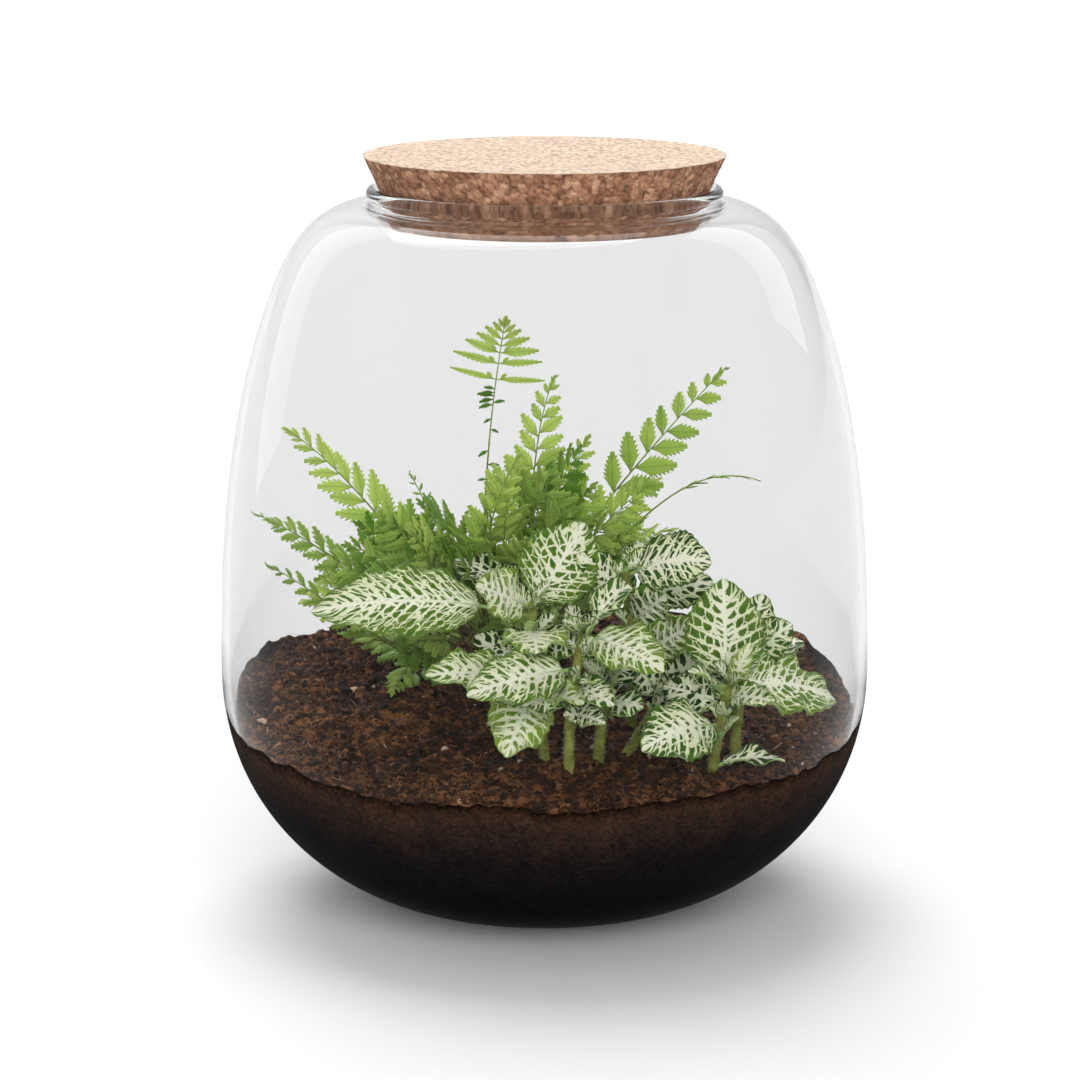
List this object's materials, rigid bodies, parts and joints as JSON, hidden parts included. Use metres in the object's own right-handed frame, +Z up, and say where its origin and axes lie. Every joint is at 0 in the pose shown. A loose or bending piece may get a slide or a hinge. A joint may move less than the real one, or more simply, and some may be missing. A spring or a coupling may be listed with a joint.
{
  "type": "closed plant terrarium",
  "caption": "Rounded clear glass jar with a tapered cork stopper, holding a sloping bed of potting soil planted with a small fern and a white-veined creeping foliage plant.",
  "frame": {"origin": "centre of the jar's flat foot, on the surface it stands on", "axes": "+Z up along the jar's axis; the plants' show side, with the veined leaves in front, faces -Y"},
  "size_m": [0.25, 0.25, 0.289],
  "materials": {
    "clear_glass": "clear, polished",
    "cork": "agglomerated cork, granular side, sanded paler top",
    "potting_soil": "loose fibrous potting soil, dark and moist below",
    "fern_crown": "brown fibrous rootstock",
    "fern_frond": "thin fresh green foliage, darker midribs",
    "fittonia_stem": "fleshy green stem with fine pale hairs",
    "fittonia_leaf": "dark green leaf with a net of cream white veins, pale green margin"
  },
  "bodies": {
    "root": {"cork_stopper": "cork", "fern_crown": "fern_crown", "fern_frond_01": "fern_frond", "fern_frond_02": "fern_frond", "fern_frond_03": "fern_frond", "fern_frond_04": "fern_frond", "fern_frond_05": "fern_frond", "fern_frond_06": "fern_frond", "fern_frond_07": "fern_frond", "fern_frond_08": "fern_frond", "fern_frond_09": "fern_frond", "fern_frond_10": "fern_frond", "fern_frond_11": "fern_frond", "fern_frond_12": "fern_frond", "fern_frond_13": "fern_frond", "fern_frond_14": "fern_frond", "fern_frond_15": "fern_frond", "fern_frond_16": "fern_frond", "fern_frond_17": "fern_frond", "fittonia_leaf_01": "fittonia_leaf", "fittonia_leaf_02": "fittonia_leaf", "fittonia_leaf_03": "fittonia_leaf", "fittonia_leaf_04": "fittonia_leaf", "fittonia_leaf_05": "fittonia_leaf", "fittonia_leaf_06": "fittonia_leaf", "fittonia_leaf_07": "fittonia_leaf", "fittonia_leaf_08": "fittonia_leaf", "fittonia_leaf_09": "fittonia_leaf", "fittonia_leaf_10": "fittonia_leaf", "fittonia_leaf_11": "fittonia_leaf", "fittonia_leaf_12": "fittonia_leaf", "fittonia_leaf_13": "fittonia_leaf", "fittonia_leaf_14": "fittonia_leaf", "fittonia_leaf_15": "fittonia_leaf", "fittonia_leaf_16": "fittonia_leaf", "fittonia_leaf_17": "fittonia_leaf", "fittonia_leaf_18": "fittonia_leaf", "fittonia_leaf_19": "fittonia_leaf", "fittonia_leaf_20": "fittonia_leaf", "fittonia_leaf_21": "fittonia_leaf", "fittonia_leaf_22": "fittonia_leaf", "fittonia_leaf_23": "fittonia_leaf", "fittonia_leaf_24": "fittonia_leaf", "fittonia_leaf_25": "fittonia_leaf", "fittonia_leaf_26": "fittonia_leaf", "fittonia_leaf_27": "fittonia_leaf", "fittonia_leaf_28": "fittonia_leaf", "fittonia_leaf_29": "fittonia_leaf", "fittonia_leaf_30": "fittonia_leaf", "fittonia_leaf_31": "fittonia_leaf", "fittonia_stem_1": "fittonia_stem", "fittonia_stem_2": "fittonia_stem", "fittonia_stem_3": "fittonia_stem", "fittonia_stem_4": "fittonia_stem", "fittonia_stem_5": "fittonia_stem", "fittonia_stem_6": "fittonia_stem", "fittonia_stem_7": "fittonia_stem", "glass_jar": "clear_glass", "potting_soil": "potting_soil"}
  },
  "joints": []
}
